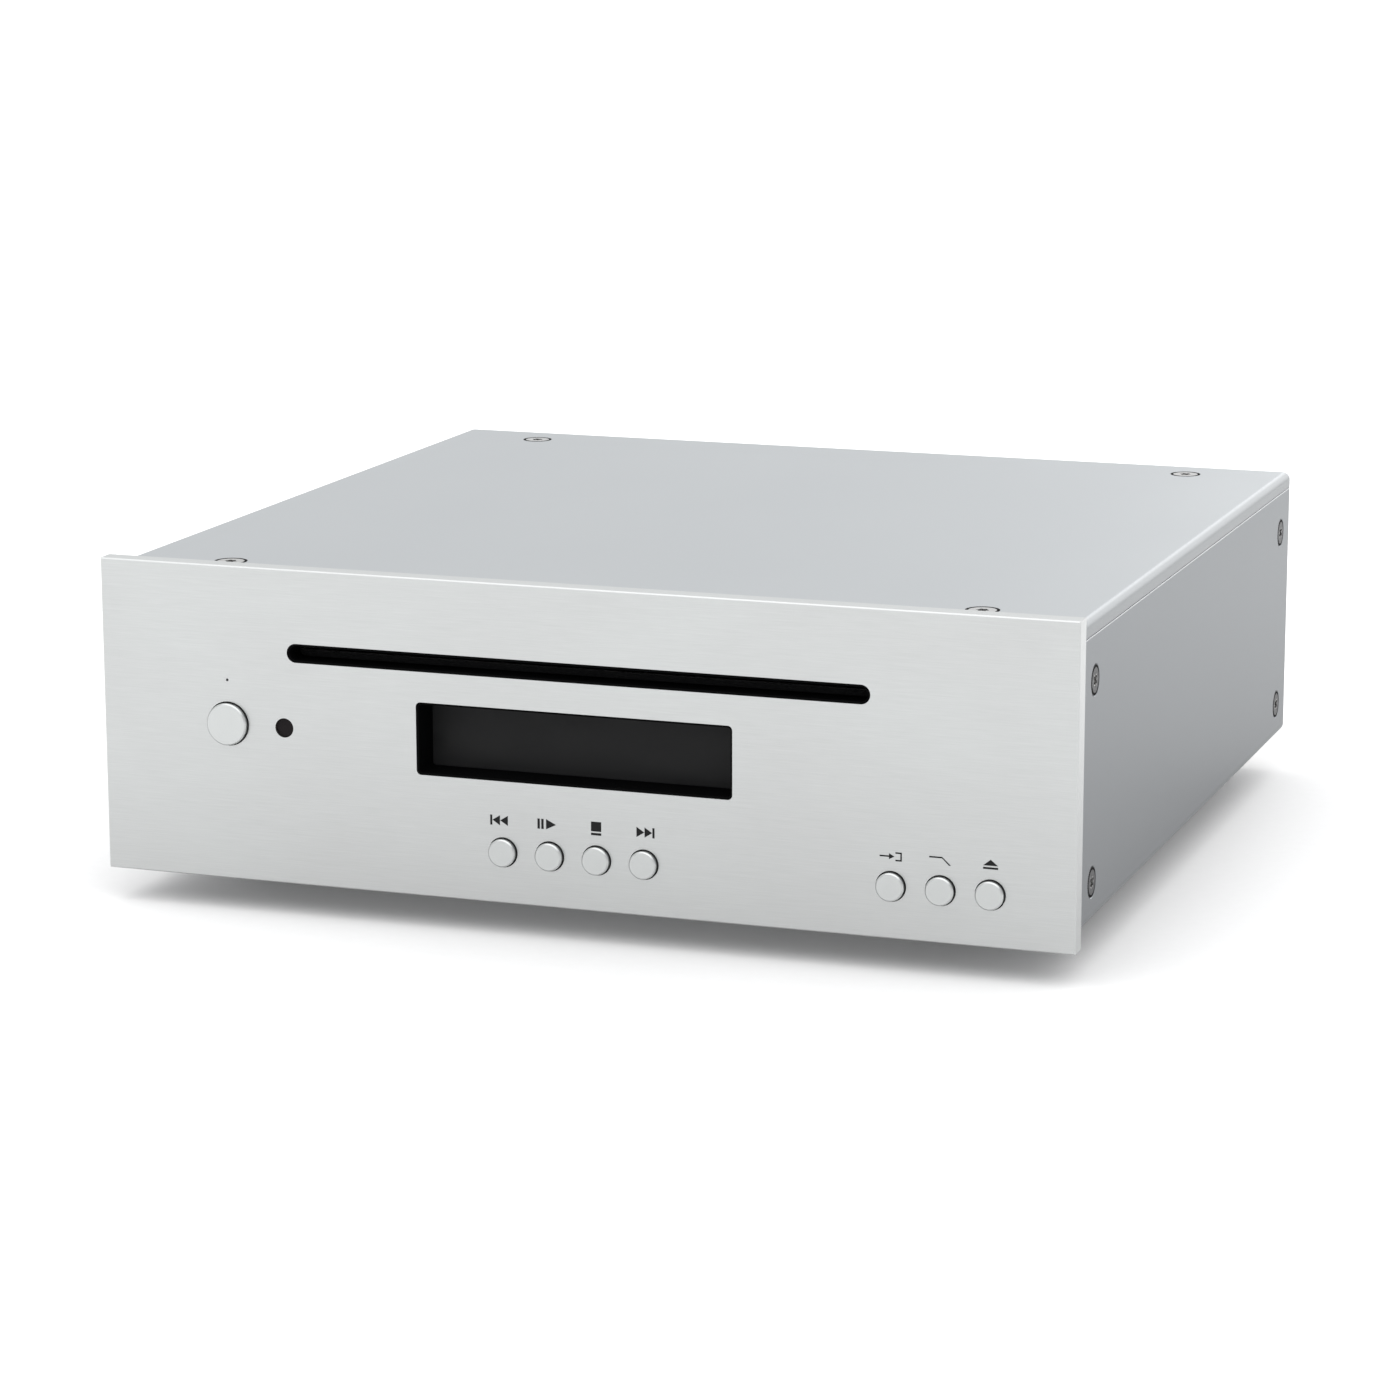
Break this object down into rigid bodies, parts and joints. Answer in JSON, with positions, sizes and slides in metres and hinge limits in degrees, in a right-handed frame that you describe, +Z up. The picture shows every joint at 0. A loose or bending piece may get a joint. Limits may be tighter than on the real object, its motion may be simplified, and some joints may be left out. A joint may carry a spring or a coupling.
{
  "type": "slot-loading compact disc player",
  "caption": "Compact slot-loading disc player in a flat satin aluminium case with a thick brushed fascia, recessed display window, round push keys and rear sockets.",
  "frame": {"origin": "on the surface that the feet stand on, under the middle of the whole player from key faces to socket tips", "axes": "+X to the right of someone facing the fascia, +Y from the fascia to the rear sockets, +Z up"},
  "size_m": [0.206, 0.2028, 0.072],
  "materials": {
    "fascia_aluminium": "fine horizontal brushing, clear anodised",
    "case_aluminium": "satin silver, fine bead blast",
    "rear_aluminium": "satin silver",
    "key_aluminium": "turned, bright chamfer",
    "screw_steel": "zinc plated",
    "frame_steel": "galvanised sheet",
    "loader_steel": "galvanised sheet",
    "motor_steel": "plain",
    "rod_steel": "ground and polished",
    "spacer_brass": "nickel-free brass",
    "socket_gold": "gold plated",
    "black_plastic": "fine texture",
    "natural_plastic": "natural acetal",
    "dark_plastic": "fine texture",
    "felt": "black felt",
    "display_glass": "smoked",
    "display_face": "dark panel",
    "infrared_plastic": "dark infrared filter",
    "lamp_plastic": "clear",
    "board_green": "solder resist",
    "capacitor_sleeve": "shrunk sleeve",
    "heatsink_aluminium": "black anodised",
    "ribbon_plastic": "grey flat cable",
    "rubber": "moulded",
    "foot_rubber": "moulded, fine texture"
  },
  "bodies": {
    "player": {"capacitors": "capacitor_sleeve", "case_screws": "screw_steel", "chassis_tray": "case_aluminium", "disc_guide": "dark_plastic", "display_bezel": "black_plastic", "display_module": "display_face", "display_window": "display_glass", "dust_lips": "felt", "feet": "foot_rubber", "front_board": "board_green", "front_components": "dark_plastic", "front_frame": "frame_steel", "front_panel": "fascia_aluminium", "guide_rods": "rod_steel", "heatsink": "heatsink_aluminium", "infrared_window": "infrared_plastic", "key_guides": "natural_plastic", "loader_base": "loader_steel", "loader_cover": "loader_steel", "main_board": "board_green", "optical_sockets": "black_plastic", "pan_screws": "screw_steel", "phono_sockets": "socket_gold", "power_inlet": "black_plastic", "processors": "dark_plastic", "rear_panel": "rear_aluminium", "ribbon_cable": "ribbon_plastic", "rubber_mounts": "rubber", "sled_motor": "motor_steel", "slot_bezel": "black_plastic", "socket_blocks": "black_plastic", "spindle_motor": "motor_steel", "standby_lamp": "lamp_plastic", "standoffs": "spacer_brass", "top_cover": "case_aluminium", "traverse_plate": "loader_steel"},
    "power_button": {"power_button": "key_aluminium"},
    "previous_button": {"previous_button": "key_aluminium"},
    "play_button": {"play_button": "key_aluminium"},
    "stop_button": {"stop_button": "key_aluminium"},
    "next_button": {"next_button": "key_aluminium"},
    "input_button": {"input_button": "key_aluminium"},
    "filter_button": {"filter_button": "key_aluminium"},
    "eject_button": {"eject_button": "key_aluminium"},
    "turntable": {"turntable": "dark_plastic"},
    "pickup_sled": {"pickup_sled": "dark_plastic"},
    "objective_lens": {"objective_lens": "lamp_plastic"},
    "sled_gear": {"sled_gear": "natural_plastic"},
    "sled_pinion": {"sled_pinion": "natural_plastic"},
    "clamp_arm": {"clamp_arm": "loader_steel"},
    "clamp_puck": {"clamp_puck": "natural_plastic"},
    "roller_bracket": {"roller_bracket": "loader_steel", "loading_motor": "motor_steel"},
    "loading_roller": {"loading_roller": "rubber", "roller_shaft": "natural_plastic"},
    "idler_gear": {"idler_gear": "natural_plastic"},
    "loading_pinion": {"loading_pinion": "natural_plastic"},
    "shift_slide": {"shift_slide": "loader_steel"},
    "optical_out_flap": {"optical_out_flap": "dark_plastic"},
    "optical_in_flap": {"optical_in_flap": "dark_plastic"}
  },
  "joints": [
    {"name": "power_press", "type": "slide", "parent": "player", "child": "power_button", "axis": [0, 1, 0], "range_m": [0, 0.0005], "stiffness_N_per_m": 900, "springref_m": -0.0003},
    {"name": "previous_press", "type": "slide", "parent": "player", "child": "previous_button", "axis": [0, 1, 0], "range_m": [0, 0.0005], "stiffness_N_per_m": 900, "springref_m": -0.0003},
    {"name": "play_press", "type": "slide", "parent": "player", "child": "play_button", "axis": [0, 1, 0], "range_m": [0, 0.0005], "stiffness_N_per_m": 900, "springref_m": -0.0003},
    {"name": "stop_press", "type": "slide", "parent": "player", "child": "stop_button", "axis": [0, 1, 0], "range_m": [0, 0.0005], "stiffness_N_per_m": 900, "springref_m": -0.0003},
    {"name": "next_press", "type": "slide", "parent": "player", "child": "next_button", "axis": [0, 1, 0], "range_m": [0, 0.0005], "stiffness_N_per_m": 900, "springref_m": -0.0003},
    {"name": "input_press", "type": "slide", "parent": "player", "child": "input_button", "axis": [0, 1, 0], "range_m": [0, 0.0005], "stiffness_N_per_m": 900, "springref_m": -0.0003},
    {"name": "filter_press", "type": "slide", "parent": "player", "child": "filter_button", "axis": [0, 1, 0], "range_m": [0, 0.0005], "stiffness_N_per_m": 900, "springref_m": -0.0003},
    {"name": "eject_press", "type": "slide", "parent": "player", "child": "eject_button", "axis": [0, 1, 0], "range_m": [0, 0.0005], "stiffness_N_per_m": 900, "springref_m": -0.0003},
    {"name": "turntable_spin", "type": "hinge", "parent": "player", "child": "turntable", "pos_m": [0, -0.01395, 0.0517], "axis": [0, 0, 1], "continuous": true},
    {"name": "sled_slide", "type": "slide", "parent": "player", "child": "pickup_sled", "axis": [0, 1, 0], "range_m": [0, 0.035]},
    {"name": "lens_focus", "type": "slide", "parent": "pickup_sled", "child": "objective_lens", "axis": [0, 0, 1], "range_m": [-0.0004, 0.0004], "stiffness_N_per_m": 120},
    {"name": "sled_gear_turn", "type": "hinge", "parent": "player", "child": "sled_gear", "pos_m": [-0.0302, 0.01705, 0.0439], "axis": [0, 0, 1], "range_deg": [0, 477.6]},
    {"name": "sled_pinion_turn", "type": "hinge", "parent": "player", "child": "sled_pinion", "pos_m": [-0.04146, 0.02355, 0.0439], "axis": [0, 0, 1], "range_deg": [-1591.7, 0]},
    {"name": "shift_slide_move", "type": "slide", "parent": "player", "child": "shift_slide", "axis": [0, 1, 0], "range_m": [0, 0.01]},
    {"name": "clamp_lower", "type": "hinge", "parent": "player", "child": "clamp_arm", "pos_m": [0, 0.05205, 0.0578], "axis": [1, 0, 0], "range_deg": [0, 3.81]},
    {"name": "puck_spin", "type": "hinge", "parent": "clamp_arm", "child": "clamp_puck", "pos_m": [0, -0.01412, 0.05738], "axis": [0, 0.0663, 0.9978], "continuous": true},
    {"name": "roller_drop", "type": "hinge", "parent": "player", "child": "roller_bracket", "pos_m": [0, -0.05795, 0.046], "axis": [1, 0, 0], "range_deg": [0, 12.01]},
    {"name": "roller_spin", "type": "hinge", "parent": "roller_bracket", "child": "loading_roller", "pos_m": [0, -0.07395, 0.0498], "axis": [1, 0, 0], "continuous": true},
    {"name": "idler_spin", "type": "hinge", "parent": "roller_bracket", "child": "idler_gear", "pos_m": [0, -0.06598, 0.05398], "axis": [1, 0, 0], "continuous": true},
    {"name": "loading_pinion_spin", "type": "hinge", "parent": "roller_bracket", "child": "loading_pinion", "pos_m": [0, -0.05995, 0.046], "axis": [1, 0, 0], "continuous": true},
    {"name": "optical_out_flap_swing", "type": "hinge", "parent": "player", "child": "optical_out_flap", "pos_m": [0.012, 0.09305, 0.02725], "axis": [-1, 0, 0], "range_deg": [0, 80], "stiffness_Nm_per_rad": 0.0002, "springref_deg": -17.19},
    {"name": "optical_in_flap_swing", "type": "hinge", "parent": "player", "child": "optical_in_flap", "pos_m": [-0.018, 0.09305, 0.02725], "axis": [-1, 0, 0], "range_deg": [0, 80], "stiffness_Nm_per_rad": 0.0002, "springref_deg": -17.19}
  ],
  "couplings": [
    {"joint": "sled_gear_turn", "follows": "sled_slide", "rad_per_m": 238.1},
    {"joint": "sled_pinion_turn", "follows": "sled_slide", "rad_per_m": -793.65},
    {"joint": "clamp_lower", "follows": "shift_slide_move", "rad_per_m": 6.6323},
    {"joint": "roller_drop", "follows": "shift_slide_move", "rad_per_m": 20.944},
    {"joint": "idler_spin", "follows": "roller_spin", "ratio": -2},
    {"joint": "loading_pinion_spin", "follows": "roller_spin", "ratio": 6}
  ]
}
